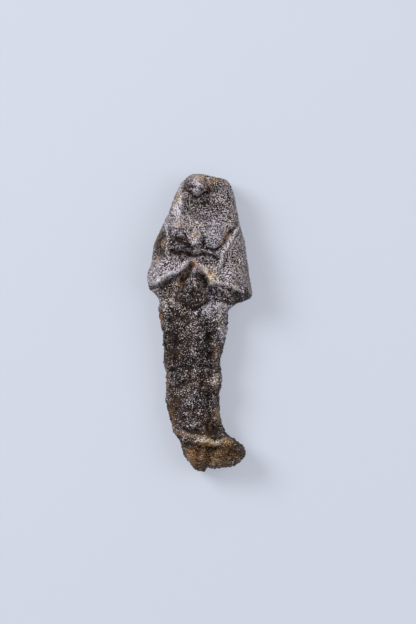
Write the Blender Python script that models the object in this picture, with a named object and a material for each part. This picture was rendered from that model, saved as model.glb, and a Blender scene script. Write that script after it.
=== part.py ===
"""Falcon-headed viscera figure: a small mummiform figure pressed by hand from one lump of dark wax.

The figure lies on its flattened back. +Z is up out of its front, +Y runs from the feet to the head, and the
origin is the middle of its bounding box at the resting face. Sizes are in metres.

The carving is laid out on a canon of squares, a hundred to the figure's length: (across, up) places a
feature, with across 0 near the middle of the body, up 0 at the soles and up 100 at the crown.
"""

import math

import bmesh
import bpy
import numpy as np

# Driving dimensions
FIGURE_LENGTH = 0.086
FIGURE_DEPTH = 0.0182
RESTING_FLAT_WIDTH = 0.0090

# The canon: squares to the length, and squares from the back to the highest carving
SQUARES = 100
SQUARE = FIGURE_LENGTH / SQUARES
SQUARES_DEEP = 21.2
DEPTH_SQUARE = FIGURE_DEPTH / SQUARES_DEEP

# Mesh density: a fine skin takes the carving, then collapses to fewer facets where it is plain
POINTS_AROUND = 168
RINGS = 280
END_CROWDING = 0.55
FRONT_CROWDING = 0.34
SOFTENING_PASSES = 4
FACETS = 9200
RESTING_SNAP = 0.00004
MOST_FLAT_SHARE = 0.95

# Outline seen from the front, as (up, across), with more points only where the silhouette turns
LEFT_EDGE = (
    (0.0, 0.4), (0.6, -0.5), (1.3, -2.0), (3.0, -3.1), (5.2, -4.7), (9.0, -6.0), (10.8, -6.6), (12.3, -8.1),
    (16.0, -9.2), (20.0, -10.4), (24.0, -11.0), (33.0, -11.1), (36.0, -11.7), (44.5, -12.0), (50.5, -13.2),
    (58.0, -13.5), (59.8, -15.0), (61.8, -17.0), (65.0, -17.4), (70.0, -16.2), (76.0, -15.2), (80.0, -13.6),
    (85.5, -10.9), (92.0, -8.5), (96.0, -6.4), (98.4, -4.6), (99.5, -3.0), (100.0, -1.6),
)
RIGHT_EDGE = (
    (0.0, 1.6), (0.9, 2.8), (1.3, 4.6), (1.8, 11.0), (2.8, 13.0), (4.2, 14.6), (6.3, 15.5), (8.4, 14.6),
    (10.7, 11.7), (12.4, 9.2), (17.0, 7.4), (21.0, 6.6), (26.0, 6.7), (29.5, 7.5), (32.6, 7.3), (35.5, 6.8),
    (42.0, 8.0), (48.0, 9.4), (53.6, 9.5), (56.3, 12.1), (57.6, 16.3), (60.0, 17.7), (63.0, 17.2),
    (70.0, 16.2), (78.0, 15.1), (83.0, 13.6), (88.0, 12.6), (93.0, 11.7), (96.4, 10.4), (97.8, 9.0),
    (98.6, 6.6), (99.3, 3.6), (100.0, 0.8),
)

# Height of the front above the back, as (up, height in squares), before the relief
FRONT_HEIGHT = (
    (0.0, 6.0), (1.0, 9.0), (3.0, 12.4), (6.0, 14.6), (10.4, 15.4), (13.6, 12.2), (20.0, 11.8), (31.0, 13.0),
    (45.0, 13.8), (57.0, 14.2), (63.0, 14.4), (70.0, 14.8), (78.0, 14.6), (84.0, 14.0), (90.0, 13.8),
    (95.0, 13.6), (98.0, 11.8), (99.4, 9.0), (100.0, 6.8),
)
# Height of the back: the heel and the crown lift a little clear of the surface that the figure lies on
BACK_HEIGHT = (
    (0.0, 5.0), (1.2, 2.6), (4.0, 0.5), (7.0, 0.0), (93.0, 0.0), (97.5, 1.4), (99.5, 3.6), (100.0, 5.0),
)
WIDEST_SHARE = 0.40
FRONT_SQUARENESS = 2.5
BACK_SQUARENESS = 2.4
FRONT_WEIGHT_RISE = 0.6

# Foot of the wrapped arms as (across, up), with a peak on the chest, and the width of their underside from
# the foot to the rim as (across, width): the right arm hangs over in a thick roll
ARM_FOOT = (
    (-17.5, 60.0), (-15.0, 61.2), (-11.5, 62.8), (-8.1, 64.5), (-5.4, 66.6), (-2.1, 69.8), (0.8, 67.5),
    (1.9, 65.2), (2.8, 62.4), (3.8, 60.4), (5.4, 59.2), (8.7, 58.6), (13.0, 57.4), (17.8, 56.4),
)
ARM_UNDERSIDE = (
    (-17.5, 2.4), (-8.0, 2.0), (-5.0, 1.4), (-2.1, 0.9), (2.2, 0.9), (3.8, 1.6), (5.4, 2.8), (9.0, 3.6),
    (13.0, 3.0), (17.8, 2.4),
)
ARM_STEP = 4.2
ARM_FADE = (73.0, 84.0)
ARM_SHARE_UNDER_WIG = 0.4

# Firm knobs and sockets with a flat middle and steep sides, as a name: (centre, half size, rise), where the
# centre is (across, up)
KNOBS = {
    "beak": ((-1.8, 95.6), (5.2, 4.6), 3.0),
    "beak tip": ((-0.9, 94.6), (3.4, 2.8), 0.9),
    "left hem boss": ((-7.0, 78.2), (5.0, 6.0), 2.1),
    "left hem eye": ((-7.0, 77.7), (2.9, 2.9), -2.7),
    "middle hem lobe": ((-1.0, 77.6), (2.9, 4.6), 1.2),
    "right hem lobe": ((5.2, 78.6), (5.6, 5.6), 1.9),
    "right elbow": ((15.8, 59.4), (2.3, 3.2), 1.5),
    "right sleeve roll": ((8.4, 60.0), (6.0, 3.4), 0.9),
    "right foot": ((10.4, 6.8), (6.2, 5.6), 1.7),
}
KNOB_FIRMNESS = 1.5
# Soft mounds and hollows, in the same form
MOUNDS = {
    "right brow": ((6.6, 96.0), (5.2, 3.4), 1.9),
    "left lappet": ((-7.4, 87.5), (3.2, 9.0), 1.7),
    "right lappet": ((9.8, 88.5), (4.4, 9.5), 1.4),
    "face hollow": ((0.6, 88.6), (8.6, 6.8), -2.8),
    "throat": ((-1.6, 87.0), (3.6, 3.4), -0.6),
    "wig hem": ((-0.6, 79.6), (13.4, 6.6), 2.0),
    "hem crease pit": ((-5.8, 72.9), (3.0, 1.6), -1.2),
    "left upper arm": ((-11.5, 67.0), (6.0, 5.4), 0.8),
    "right upper arm": ((9.6, 65.0), (8.0, 6.4), 1.0),
    "left shoulder slope": ((-13.6, 76.0), (3.0, 10.0), -1.4),
    "right knee": ((5.4, 30.6), (2.6, 4.4), 1.4),
    "shin": ((-2.4, 30.0), (4.6, 22.0), 0.8),
    "thigh": ((-1.6, 47.5), (6.2, 9.5), 0.8),
    "upper right pit": ((3.8, 44.2), (1.9, 2.6), -1.3),
    "lower right pit": ((3.3, 38.6), (1.7, 2.4), -1.0),
    "upper left pit": ((-6.0, 43.2), (3.4, 2.2), -1.2),
    "lower left pit": ((-7.4, 36.2), (2.8, 2.6), -1.1),
    "right shin pit": ((1.3, 29.8), (1.7, 1.9), -1.1),
    "left shin pit": ((-7.2, 29.0), (3.6, 2.2), -1.0),
    "left calf pit": ((-6.4, 21.6), (3.0, 3.6), -0.9),
    "ankle pit": ((4.6, 14.0), (1.7, 2.6), -1.2),
    "instep": ((1.8, 11.0), (11.0, 3.0), 1.8),
    "left foot": ((-1.2, 4.6), (4.6, 5.4), 1.3),
    "sole pit": ((-1.4, 7.2), (2.4, 2.0), -1.5),
    "toe pit": ((10.8, 6.6), (3.0, 2.8), -1.9),
    "toe heart": ((11.2, 6.4), (1.4, 1.3), 0.7),
}
# Ridges and grooves as a name: (points as (across, up), half width, rise)
LINES = {
    "groove beside the beak": (((1.9, 99.4), (2.4, 96.4), (1.6, 93.8)), 0.8, -1.2),
    "groove under the beak": (((-5.4, 93.8), (-2.0, 92.2), (2.2, 92.6)), 1.1, -1.1),
    "boss outline": (((-9.5, 82.0), (-10.3, 78.8), (-9.4, 75.8)), 0.8, -1.0),
    "left hem crease": (((-8.4, 73.8), (-5.2, 72.9), (-2.6, 72.8)), 1.0, -2.1),
    "right hem crease": (((-2.6, 72.8), (0.0, 72.7), (4.6, 72.4), (6.6, 72.0)), 0.8, -1.4),
    "right lobe crease": (((3.0, 74.2), (6.2, 74.4), (9.0, 78.6), (11.4, 81.8), (12.4, 84.6)), 0.7, -1.2),
    "right wig border": (((13.3, 84.4), (12.0, 80.4), (9.4, 75.6), (6.6, 70.2)), 1.0, 1.6),
    "left wig border": (((-10.9, 84.2), (-11.2, 78.0), (-10.6, 70.8)), 0.9, 1.3),
    "left notch in the hem": (((-3.8, 79.0), (-3.6, 74.4)), 0.8, -1.0),
    "right notch in the hem": (((1.8, 78.4), (1.5, 75.0)), 0.7, -1.1),
    "left arm rim": (((-15.2, 63.8), (-9.4, 66.2), (-6.0, 68.4), (-3.4, 70.6)), 1.0, 1.0),
    "right arm rim": (((3.6, 64.4), (8.7, 64.0), (11.6, 63.0), (13.4, 61.4)), 1.0, 1.2),
    "fold below the right rim": (((4.8, 61.6), (8.7, 61.2), (12.4, 59.8)), 0.9, -1.3),
    "right inner rim": (((-0.4, 70.0), (2.0, 68.0), (3.2, 65.4), (4.0, 63.6)), 0.8, 0.8),
    "right elbow fold": (((13.6, 62.0), (14.0, 59.6), (13.8, 57.2)), 0.7, -1.2),
    "groove across the shins": (((-12.0, 33.6), (-4.0, 34.6), (2.6, 35.4), (7.6, 34.8)), 0.9, -0.7),
    "groove beside the shin": (((2.9, 27.6), (3.8, 21.0), (3.4, 15.4)), 0.9, -1.1),
    "ridge beside the shin": (((5.6, 26.4), (5.9, 21.0), (5.4, 17.0)), 0.9, 0.5),
    "groove above the instep": (((-9.6, 14.6), (-2.0, 13.8), (5.6, 14.2)), 1.0, -0.8),
    "groove between the feet": (((2.6, 0.6), (2.9, 4.6), (4.6, 8.2)), 1.1, -2.1),
    "rim of the instep": (((-7.0, 13.2), (-2.0, 11.6), (3.4, 10.2), (8.4, 10.6)), 1.1, 0.9),
    "groove below the instep": (((-4.4, 9.4), (0.4, 8.6), (5.0, 8.2), (7.6, 8.0)), 0.9, -1.2),
    "lump ridge": (((-1.7, 68.6), (-1.3, 62.4)), 1.0, 0.7),
    "lump brow": (((-4.2, 61.0), (-1.3, 61.9), (1.6, 61.6)), 0.9, 0.6),
}

# The lump below the hands: its edges as (up, across), and its rise as (up, rise), highest along a blunt ridge
LUMP_LEFT_EDGE = ((54.2, -1.6), (55.6, -4.8), (58.0, -8.0), (61.0, -7.8), (65.0, -5.4), (70.4, -2.6))
LUMP_RIGHT_EDGE = ((54.2, 0.2), (55.6, 2.0), (58.6, 3.2), (62.6, 2.9), (66.0, 1.7), (70.4, -1.0))
LUMP_RISE = ((54.2, 0.0), (55.6, 2.6), (58.6, 4.3), (62.2, 5.2), (66.0, 3.6), (70.4, 0.6))
LUMP_SIDE_BLEND = 3.0

# The hand's wander: carved features stray from their drawn places by slow waves
WANDER = 0.35
WANDER_WAVE_LENGTH = 7.5
WANDER_SLANT = (0.4, 0.3)

# The slow unevenness of a hand-pressed surface, as waves of (turns across, turns up, start) in a wave length
UNEVEN_WAVES = ((1.0, 0.7, 0.0), (-0.8, 1.3, 1.0), (1.9, 0.0, 2.1))
UNEVEN_WAVE_LENGTH = 11.0
UNEVEN_RISE = 0.22

# Colour of the wax from the photograph, under its grey bloom
WAX_COLOUR = (0.105, 0.078, 0.070, 1.0)
WAX_ROUGHNESS = 0.62
FACET_SHARP_ANGLE = math.radians(55)


def clear_scene():
    for old in list(bpy.data.objects):
        bpy.data.objects.remove(old, do_unlink=True)


def smooth_step(share):
    share = np.clip(share, 0.0, 1.0)
    return share * share * (3 - 2 * share)


def along(stations, places):
    """Values at places on a smooth curve through (place, value) stations, with no overshoot between them."""
    at, value = np.array(stations).T
    steps = np.diff(value) / np.diff(at)
    before, after = steps[:-1], steps[1:]
    same_way = before * after > 0
    harmonic = 2 * before * after / np.where(same_way, before + after, 1.0)
    slopes = np.concatenate(([steps[0]], np.where(same_way, harmonic, 0.0), [steps[-1]]))
    places = np.clip(places, at[0], at[-1])
    i = np.clip(np.searchsorted(at, places) - 1, 0, len(steps) - 1)
    span = at[i + 1] - at[i]
    t = (places - at[i]) / span
    held = value[i] * (1 + 2 * t) * (1 - t) ** 2 + value[i + 1] * t * t * (3 - 2 * t)
    return held + span * t * (1 - t) * (slopes[i] * (1 - t) - slopes[i + 1] * t)


def reach_from(across, up, centre, half_size):
    """Distance from a feature's centre, 1 on its oval rim."""
    return np.hypot((across - centre[0]) / half_size[0], (up - centre[1]) / half_size[1])


def distance_to_line(across, up, points):
    nearest = np.full_like(across, np.inf)
    for (ax, ay), (bx, by) in zip(points, points[1:]):
        dx, dy = bx - ax, by - ay
        share = np.clip(((across - ax) * dx + (up - ay) * dy) / (dx * dx + dy * dy), 0.0, 1.0)
        nearest = np.minimum(nearest, np.hypot(across - ax - share * dx, up - ay - share * dy))
    return nearest


def arm_layer(across, up):
    """The wrapped arms over the body: a step along their lower edge, melting into the wig above."""
    from_foot = np.where(up > along(ARM_FOOT, across), distance_to_line(across, up, ARM_FOOT), 0.0)
    over_edge = np.clip(from_foot / along(ARM_UNDERSIDE, across), 0.0, 1.0)
    start, end = ARM_FADE
    faded = (1 - ARM_SHARE_UNDER_WIG) * smooth_step((up - start) / (end - start))
    return ARM_STEP * over_edge * (1 - faded)


def lump(across, up):
    """The lump's upper face rises from the arms' peak to a ridge, and its lower face falls to the legs."""
    from_left = across - along(LUMP_LEFT_EDGE, up)
    from_right = along(LUMP_RIGHT_EDGE, up) - across
    return along(LUMP_RISE, up) * smooth_step(np.minimum(from_left, from_right) / LUMP_SIDE_BLEND)


def strayed(across, up):
    """The drawn place of the feature that the hand has moved to (across, up)."""
    turns = 2 * math.pi / WANDER_WAVE_LENGTH
    slant_across, slant_up = WANDER_SLANT
    return (
        across + WANDER * np.sin(turns * up + slant_across * across),
        up + WANDER * np.sin(turns * across + slant_up * up),
    )


def unevenness(across, up):
    turns = 2 * math.pi / UNEVEN_WAVE_LENGTH
    waves = [np.sin(turns * (a * across + b * up) + start) for a, b, start in UNEVEN_WAVES]
    return UNEVEN_RISE * sum(waves)


def relief(across, up):
    """Height of the carving over the plain front."""
    uneven = unevenness(across, up)
    across, up = strayed(across, up)
    height = arm_layer(across, up) + lump(across, up) + uneven
    for centre, half_size, rise in KNOBS.values():
        height += rise * smooth_step(KNOB_FIRMNESS * (1 - reach_from(across, up, centre, half_size)))
    for centre, half_size, rise in MOUNDS.values():
        height += rise * np.clip(1 - reach_from(across, up, centre, half_size) ** 2, 0.0, None) ** 2
    for points, half_width, rise in LINES.values():
        height += rise * np.exp(-((distance_to_line(across, up, points) / half_width) ** 2))
    return height


def skin_points(up, turn):
    """(across, up, height) of the skin, with turn 0 to the right edge and a quarter turn in front."""
    left, right = along(LEFT_EDGE, up), along(RIGHT_EDGE, up)
    front, back = along(FRONT_HEIGHT, up), along(BACK_HEIGHT, up)
    middle, half_width = (left + right) / 2, (right - left) / 2
    widest = back + WIDEST_SHARE * (front - back)
    side, rise = np.cos(turn), np.sin(turn)
    in_front = rise > 0
    squareness = np.where(in_front, FRONT_SQUARENESS, BACK_SQUARENESS)
    across = middle + half_width * np.sign(side) * np.abs(side) ** (2 / squareness)
    lift = np.abs(rise) ** (2 / squareness)
    carved = (front - widest) * lift + smooth_step(rise / FRONT_WEIGHT_RISE) * relief(across, up)
    flat_share = np.clip(RESTING_FLAT_WIDTH / SQUARE / (2 * half_width), 0.0, MOST_FLAT_SHARE)
    flat_lift = (1 - flat_share**BACK_SQUARENESS) ** (1 / BACK_SQUARENESS)
    sunk = (widest - back) * np.minimum(lift / flat_lift, 1.0)
    return np.column_stack((across, up, widest + np.where(in_front, carved, -sunk)))


def canon_place(on_sphere):
    """(up, turn) of points on a unit sphere whose axis is the figure's length."""
    share = np.arccos(np.clip(on_sphere[:, 2], -1.0, 1.0)) / math.pi
    crowded = share - END_CROWDING * np.sin(2 * math.pi * share) / (2 * math.pi)
    turn = np.arctan2(on_sphere[:, 1], on_sphere[:, 0])
    return SQUARES * crowded, turn + FRONT_CROWDING * np.cos(turn)


def to_real_size(points):
    """Squares become metres, with the origin at the middle of the box, on the resting face."""
    lowest, highest = points.min(axis=0), points.max(axis=0)
    origin = (*(lowest[:2] + highest[:2]) / 2, lowest[2])
    return (points - origin) * (SQUARE, SQUARE, DEPTH_SQUARE)


def wax_material():
    material = bpy.data.materials.new("dark_wax")
    material.use_nodes = True
    shader = material.node_tree.nodes["Principled BSDF"]
    shader.inputs["Base Color"].default_value = WAX_COLOUR
    shader.inputs["Roughness"].default_value = WAX_ROUGHNESS
    shader.inputs["Metallic"].default_value = 0.0
    return material


def carved_skin():
    """A sphere whose rings become sections along the figure, pushed out to the carved shape."""
    skin = bmesh.new()
    bmesh.ops.create_uvsphere(skin, u_segments=POINTS_AROUND, v_segments=RINGS, radius=1.0)
    up, turn = canon_place(np.array([vert.co[:] for vert in skin.verts]))
    points = to_real_size(skin_points(up, turn))
    for vert, point in zip(skin.verts, points):
        vert.co = point
    mesh = bpy.data.meshes.new("carved_skin")
    skin.to_mesh(mesh)
    skin.free()
    return mesh


def fewer_facets(carved):
    """The same skin with its facets spent where the carving is, and its resting face kept flat."""
    carrier = bpy.data.objects.new("carrier", carved)
    bpy.context.scene.collection.objects.link(carrier)
    carved.calc_loop_triangles()
    soften = carrier.modifiers.new("Smooth", "SMOOTH")
    soften.iterations = SOFTENING_PASSES
    collapse = carrier.modifiers.new("Decimate", "DECIMATE")
    collapse.ratio = FACETS / len(carved.loop_triangles)
    bpy.context.view_layer.update()
    evaluated = carrier.evaluated_get(bpy.context.evaluated_depsgraph_get())
    mesh = bpy.data.meshes.new_from_object(evaluated)
    bpy.data.objects.remove(carrier, do_unlink=True)
    for vert in mesh.vertices:
        if vert.co.z < RESTING_SNAP:
            vert.co.z = 0.0
    return mesh


def make_figure(collection):
    mesh = fewer_facets(carved_skin())
    mesh.name = "falcon_headed_figure"
    mesh.shade_smooth()
    mesh.set_sharp_from_angle(angle=FACET_SHARP_ANGLE)
    mesh.materials.append(wax_material())
    figure = bpy.data.objects.new("falcon_headed_figure", mesh)
    collection.objects.link(figure)
    return figure


def main():
    clear_scene()
    collection = bpy.data.collections.new("falcon_headed_viscera_figure")
    bpy.context.scene.collection.children.link(collection)
    make_figure(collection)


main()
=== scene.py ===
"""Falcon-headed viscera figure in resin-darkened beeswax, lying on a pale table under soft studio light."""

import math

import bpy
import numpy as np
from bpy.props import FloatProperty, FloatVectorProperty, IntProperty, PointerProperty
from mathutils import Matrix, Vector, noise


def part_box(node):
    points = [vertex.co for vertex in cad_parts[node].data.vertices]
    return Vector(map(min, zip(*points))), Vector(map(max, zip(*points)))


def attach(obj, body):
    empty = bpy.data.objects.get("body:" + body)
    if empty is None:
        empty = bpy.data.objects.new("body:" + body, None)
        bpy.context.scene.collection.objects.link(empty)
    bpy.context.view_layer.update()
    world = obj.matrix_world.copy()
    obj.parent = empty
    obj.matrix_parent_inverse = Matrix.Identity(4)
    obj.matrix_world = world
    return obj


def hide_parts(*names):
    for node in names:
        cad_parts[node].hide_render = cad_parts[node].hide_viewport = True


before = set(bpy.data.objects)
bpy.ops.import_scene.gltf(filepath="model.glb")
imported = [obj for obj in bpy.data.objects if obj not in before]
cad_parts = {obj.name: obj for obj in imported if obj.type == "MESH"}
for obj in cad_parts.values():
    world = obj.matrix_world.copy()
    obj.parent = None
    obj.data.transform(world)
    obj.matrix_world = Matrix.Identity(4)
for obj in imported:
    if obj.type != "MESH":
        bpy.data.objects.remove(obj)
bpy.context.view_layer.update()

bl_info = {
    "name": "Falcon-headed wax figure",
    "version": (1, 0, 0),
    "blender": (4, 5, 0),
    "location": "3D View > Sidebar > Wax figure",
    "description": "Builds a hand-pressed wax mummiform figure and the table and lights it is shown under",
    "category": "Object",
}

# The figure's canon: a hundred squares to its length, with across 0 near the middle of the body, up 0 at the
# soles and up 100 at the crown. Every carved detail and patch of colour below is placed in these squares.
NODE = "falcon_headed_figure"
SQUARES = 100
BOX_LOW, BOX_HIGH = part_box(NODE)
FIGURE_LENGTH = BOX_HIGH.y - BOX_LOW.y
FIGURE_DEPTH = BOX_HIGH.z - BOX_LOW.z
SQUARE = FIGURE_LENGTH / SQUARES
BOX_MIDDLE_ACROSS = 0.15

# The photograph: its size in pixels, the figure's length in it and where the middle of the figure's box falls
PHOTO_WIDTH = 416
PHOTO_HEIGHT = 624
FIGURE_PIXELS = 298.5
FIGURE_MIDDLE_PIXEL = (199.75, 322.75)

# The hand's wander that the solid's own carving has, so that the narrow carving falls in with it
WANDER = 0.35
WANDER_WAVE_LENGTH = 7.5
WANDER_SLANT = (0.4, 0.3)

# Foot of the arms and the width of their underside as (across, square), and the edges of the lump below the
# hands as (up, across), as in the solid
ARM_FOOT = (
    (-17.5, 60.0), (-15.0, 61.2), (-11.5, 62.8), (-8.1, 64.5), (-5.4, 66.6), (-2.1, 69.8), (0.8, 67.5),
    (1.9, 65.2), (2.8, 62.4), (3.8, 60.4), (5.4, 59.2), (8.7, 58.6), (13.0, 57.4), (17.8, 56.4),
)
ARM_UNDERSIDE = (
    (-17.5, 2.4), (-8.0, 2.0), (-5.0, 1.4), (-2.1, 0.9), (2.2, 0.9), (3.8, 1.6), (5.4, 2.8), (9.0, 3.6),
    (13.0, 3.0), (17.8, 2.4),
)
LUMP_LEFT_EDGE = ((54.2, -1.6), (55.6, -4.8), (58.0, -8.0), (61.0, -7.8), (65.0, -5.4), (70.4, -2.6))
LUMP_RIGHT_EDGE = ((54.2, 0.2), (55.6, 2.0), (58.6, 3.2), (62.6, 2.9), (66.0, 1.7), (70.4, -1.0))

# Narrow ridges and grooves as a name: (points as (across, up), half width, rise, bloom). Above 0 the rise
# stands out and the bloom is paler.
# The bloom is partly the wax's own and partly painted light: paler on ridges and rims as a painted highlight,
# darker in grooves, creases and under edges as painted shade.
FINE_LINES = {
    "beak lower outline": (
        ((-5.0, 94.4), (-3.9, 93.8), (-2.3, 93.7), (-1.4, 92.3), (0.6, 92.4), (2.0, 93.4)), 0.50, -0.6, -1.00,
    ),
    "beak hook": (((-1.4, 93.8), (0.2, 93.0), (1.4, 93.8), (1.7, 95.2)), 0.35, 0.2, 0.60),
    "beak lower crest": (((-2.9, 95.0), (-0.9, 94.2), (0.8, 94.8)), 0.35, 0.2, 0.50),
    "beak crest": (((-3.4, 97.2), (-1.6, 96.9), (-0.2, 96.0)), 0.35, 0.2, 0.45),
    "cut across the beak": (((-3.6, 95.9), (-1.9, 95.6), (-0.4, 94.7), (1.0, 94.0)), 0.35, -0.2, -0.60),
    "beak flank": (((2.4, 98.4), (2.5, 94.3)), 0.40, -0.4, -0.45),
    "cut left of the beak": (((-5.0, 96.4), (-4.7, 94.1)), 0.5, -0.5, -0.40),
    "groove below the brow": (((2.7, 94.4), (5.6, 93.8)), 0.6, -0.4, -0.35),
    "throat crease": (((-5.2, 90.6), (-2.0, 90.3), (2.6, 90.2)), 0.6, -0.45, -0.35),
    "right cheek groove": (((9.3, 94.6), (9.5, 89.4)), 0.8, -0.3, -0.25),
    "right cheek ridge": (((11.1, 94.6), (11.7, 90.8)), 0.5, 0.3, 0.30),
    "left lappet ridge": (((-6.7, 94.4), (-6.3, 91.0), (-6.6, 86.8)), 0.8, 0.30, 0.40),
    "left cheek edge": (((-5.2, 92.5), (-5.0, 86.0)), 0.5, -0.1, 0.10),
    "hem ridge": (
        ((-9.7, 82.7), (-5.0, 82.1), (-1.7, 82.4), (1.7, 84.1), (5.7, 83.8), (10.4, 82.4)), 0.9, 0.35, 0.16,
    ),
    "arc over the boss": (((-9.4, 81.0), (-7.2, 81.4), (-5.0, 80.6), (-4.0, 78.6)), 0.45, -0.4, -0.55),
    "left arc of the boss": (((-9.4, 80.6), (-9.6, 78.4), (-8.6, 76.4)), 0.45, -0.4, -0.50),
    "boss ring": (((-7.8, 79.8), (-5.8, 79.6), (-5.0, 78.0)), 0.35, 0.35, 0.40),
    "streak on the boss": (((-8.6, 79.6), (-7.4, 78.8), (-6.2, 78.9)), 0.30, 0.2, 0.45),
    "lower rim of the boss": (((-8.4, 75.4), (-7.0, 75.9), (-5.4, 75.4)), 0.35, 0.3, 0.30),
    "gap left of the middle lobe": (((-3.7, 78.4), (-4.0, 74.8)), 0.40, -0.4, -0.40),
    "gap right of the middle lobe": (((1.6, 78.0), (1.5, 75.0)), 0.45, -0.5, -0.50),
    "right lobe hem": (((2.3, 74.4), (4.7, 74.0), (6.4, 74.7)), 0.40, -0.5, -0.70),
    "diagonal crease": (
        ((6.7, 74.7), (7.6, 76.0), (8.8, 78.6), (10.2, 80.6), (11.8, 82.4), (12.5, 84.6)), 0.40, -0.4, -0.25,
    ),
    "right wig border": (
        ((13.2, 83.2), (10.8, 77.8), (8.7, 73.7), (6.7, 70.2), (5.7, 68.4)), 0.5, 0.55, 0.55,
    ),
    "left wig border": (((-10.8, 83.2), (-10.8, 77.8), (-10.4, 72.0)), 0.45, 0.55, 0.55),
    "left slope groove": (((-12.1, 80.4), (-13.7, 76.4), (-14.4, 73.0)), 1.0, -0.4, -0.35),
    "hem crease, left": (((-8.8, 73.8), (-6.2, 73.0), (-3.7, 72.9)), 0.65, -0.5, -0.80),
    "hem crease, right": (((-3.7, 72.9), (0.3, 72.8), (3.0, 72.4), (5.8, 72.0)), 0.45, -0.6, -0.85),
    "left arm rim": (
        ((-15.0, 63.2), (-12.1, 64.8), (-9.7, 65.9), (-7.0, 67.4), (-5.0, 69.0), (-3.0, 71.0)),
        0.7, 0.4, 0.76,
    ),
    "left arm scratch": (((-12.4, 68.2), (-11.0, 69.3)), 0.4, -0.4, -0.60),
    "right inner rim": (((-1.0, 69.6), (0.8, 68.4), (2.3, 67.0), (3.2, 65.0), (3.8, 63.2)), 0.7, 0.35, 0.55),
    "right arm rim": (
        ((3.8, 63.0), (7.4, 63.3), (10.1, 63.0), (12.1, 61.7), (13.4, 60.3), (14.0, 58.4)), 0.5, 0.5, 0.75,
    ),
    "lump ridge": (((-2.0, 68.4), (-2.4, 65.4), (-3.2, 62.6)), 0.4, 0.35, 0.45),
    "second ridge on the lump": (((-0.2, 67.0), (-1.6, 64.4), (-2.6, 62.0)), 0.4, 0.2, 0.35),
    "groove in the lump": (((-2.8, 68.6), (-3.8, 65.6), (-5.4, 62.4), (-6.0, 60.0)), 0.5, -0.4, -0.45),
    "lump right outline": (((-0.6, 68.0), (1.4, 66.0), (2.3, 63.4), (2.0, 61.8)), 0.3, -0.2, -0.30),
    "lump left outline": (((-3.4, 68.6), (-5.5, 65.4), (-7.4, 61.4), (-7.7, 58.4)), 0.4, -0.4, -0.45),
    "lump brow": (((-4.8, 60.8), (-2.3, 61.0), (0.6, 60.6), (2.0, 59.8)), 0.35, 0.3, 0.35),
    "first curl on the lump": (((-6.2, 59.4), (-4.2, 59.0), (-2.2, 59.8), (0.2, 58.8)), 0.30, 0.3, 0.35),
    "second curl on the lump": (((-4.2, 57.6), (-1.8, 57.8), (0.4, 57.2), (1.6, 58.6)), 0.30, 0.3, 0.35),
    "third curl on the lump": (((-2.2, 56.2), (-0.4, 56.0), (1.2, 56.4)), 0.30, 0.3, 0.30),
    "dark under the brow": (((-5.0, 60.0), (-2.4, 59.6), (0.6, 59.8)), 0.35, -0.4, -0.40),
    "lump lower outline": (
        ((-7.4, 57.4), (-5.0, 56.6), (-3.0, 56.2), (-1.3, 54.6), (0.7, 55.2), (2.3, 57.4)), 0.5, -0.4, -0.50,
    ),
    "rim under the lump": (((-3.0, 55.2), (-0.9, 53.6), (1.7, 54.9), (3.4, 57.0)), 0.45, 0.35, 0.55),
    "gap right of the lump": (((3.1, 62.0), (3.3, 58.4)), 0.35, 0.1, 0.40),
    "foot of the sleeve roll": (((5.4, 57.6), (8.0, 57.1), (10.4, 56.7), (13.4, 56.8)), 0.5, -0.5, -0.80),
    "streak on the sleeve roll": (((6.4, 61.4), (8.4, 60.4), (10.6, 60.6)), 0.4, 0.3, 0.60),
    "dark of the sleeve roll": (((9.6, 61.4), (12.0, 59.4), (12.8, 57.6)), 0.7, -0.2, -0.75),
    "cut beside the elbow": (((14.2, 61.6), (14.6, 59.4), (14.2, 57.4)), 0.35, 0.3, 0.70),
    "fold above the roll": (((4.6, 64.2), (8.0, 64.6), (11.0, 64.2)), 0.35, -0.3, -0.25),
    "left leg edge": (((-12.0, 58.0), (-11.6, 52.0), (-11.3, 47.0)), 0.6, 0.35, 0.45),
    "crack in the thigh": (((1.7, 49.4), (2.8, 47.4), (3.5, 44.0)), 0.55, -0.6, -0.55),
    "outer thigh ridge": (((6.6, 48.9), (7.3, 46.6), (7.6, 43.4)), 0.4, 0.3, 0.45),
    "inner thigh ridge": (((5.7, 45.8), (5.4, 40.8), (5.1, 34.8)), 0.4, 0.3, 0.40),
    "groove across the shins": (((-10.6, 34.0), (-4.0, 34.8), (2.6, 35.2)), 0.5, -0.3, -0.30),
    "fold beside the knee": (((2.9, 33.6), (4.6, 30.4)), 0.4, -0.5, -0.50),
    "groove beside the shin": (((2.6, 29.0), (3.2, 21.0), (3.0, 13.0)), 0.7, -0.4, -0.45),
    "groove above the instep": (((-6.4, 14.8), (-3.0, 13.9), (1.6, 12.6), (4.6, 12.0)), 0.5, -0.5, -0.50),
    "instep edge": (((-6.4, 13.8), (-3.3, 13.0), (-0.7, 11.8), (2.0, 10.8), (4.6, 10.0)), 0.7, 0.3, 0.60),
    "groove below the instep": (((-4.2, 9.5), (-1.0, 9.1), (0.8, 9.4)), 0.4, -0.5, -0.70),
    "upper rim of the sole": (((-3.2, 8.6), (-0.3, 8.6)), 0.35, 0.2, 0.45),
    "left rim of the sole": (((-4.4, 8.4), (-4.0, 5.4), (-2.7, 2.7)), 0.45, 0.3, 0.40),
    "curl in the sole": (((-3.0, 4.5), (-1.0, 5.5), (0.7, 4.3)), 0.4, 0.3, 0.35),
    "cleft between the feet": (((1.4, 4.2), (2.2, 0.8)), 0.7, -0.8, -0.60),
    "streak on the right sole": (((3.9, 4.6), (5.7, 3.8), (7.7, 2.6)), 0.4, 0.4, 0.55),
    "toe ring": (((8.7, 8.7), (12.2, 7.4), (13.8, 5.4), (12.8, 3.4), (9.7, 2.7)), 0.4, 0.35, 0.30),
}
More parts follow.
